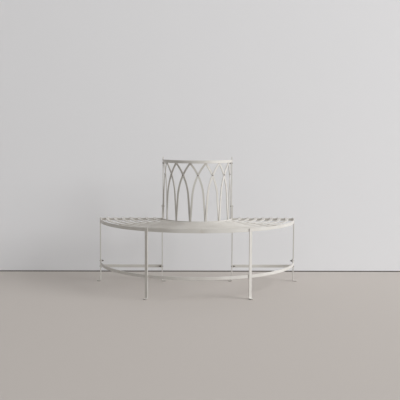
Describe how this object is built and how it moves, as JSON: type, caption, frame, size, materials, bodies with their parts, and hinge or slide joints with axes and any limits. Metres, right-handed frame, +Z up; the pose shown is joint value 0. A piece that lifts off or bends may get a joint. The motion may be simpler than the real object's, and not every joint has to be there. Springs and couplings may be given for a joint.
{
  "type": "tree bench",
  "caption": "Half-round metal tree bench with a slatted seat, flat-bar legs and a curved back of interlaced pointed arches.",
  "frame": {"origin": "on the ground, in the middle of the bench's width and depth", "axes": "+X to the right as seen from the front, along the longest side; the front is -Y; +Z up"},
  "size_m": [1.404, 0.6889, 0.876],
  "materials": {
    "frame_paint": "satin cream paint with light wear on the edges",
    "slat_paint": "satin cream paint with light wear from sitting",
    "arch_paint": "satin cream paint, faintly brown at the crossings",
    "bolt_steel": "dull zinc-plated steel, grimy in the corners",
    "rivet_steel": "dull steel with worn paint"
  },
  "bodies": {
    "root": {"outer_rim": "frame_paint", "inner_rim": "frame_paint", "top_rail": "frame_paint", "curved_stretcher": "frame_paint", "seat_bearer_1": "frame_paint", "seat_bearer_2": "frame_paint", "seat_bearer_3": "frame_paint", "seat_bearer_4": "frame_paint", "end_bearer_left": "frame_paint", "end_bearer_right": "frame_paint", "outer_leg_left": "frame_paint", "outer_leg_right": "frame_paint", "front_leg_left": "frame_paint", "front_leg_right": "frame_paint", "inner_leg_left": "frame_paint", "inner_leg_right": "frame_paint", "back_upright_left": "frame_paint", "back_upright_right": "frame_paint", "straight_stretcher_left": "frame_paint", "straight_stretcher_right": "frame_paint", "seat_slat_1": "slat_paint", "seat_slat_2": "slat_paint", "seat_slat_3": "slat_paint", "seat_slat_4": "slat_paint", "seat_slat_5": "slat_paint", "seat_slat_6": "slat_paint", "seat_slat_7": "slat_paint", "arch_bar_right_1": "arch_paint", "arch_bar_right_2": "arch_paint", "arch_bar_right_3": "arch_paint", "arch_bar_right_4": "arch_paint", "arch_bar_right_5": "arch_paint", "arch_bar_right_6": "arch_paint", "arch_bar_right_7": "arch_paint", "arch_bar_left_1": "arch_paint", "arch_bar_left_2": "arch_paint", "arch_bar_left_3": "arch_paint", "arch_bar_left_4": "arch_paint", "arch_bar_left_5": "arch_paint", "arch_bar_left_6": "arch_paint", "arch_bar_left_7": "arch_paint", "stretcher_bolts": "bolt_steel", "back_bolts": "bolt_steel", "stretcher_nuts": "bolt_steel", "back_nuts": "bolt_steel", "end_spacers": "bolt_steel", "crossing_rivets": "rivet_steel"}
  },
  "joints": []
}
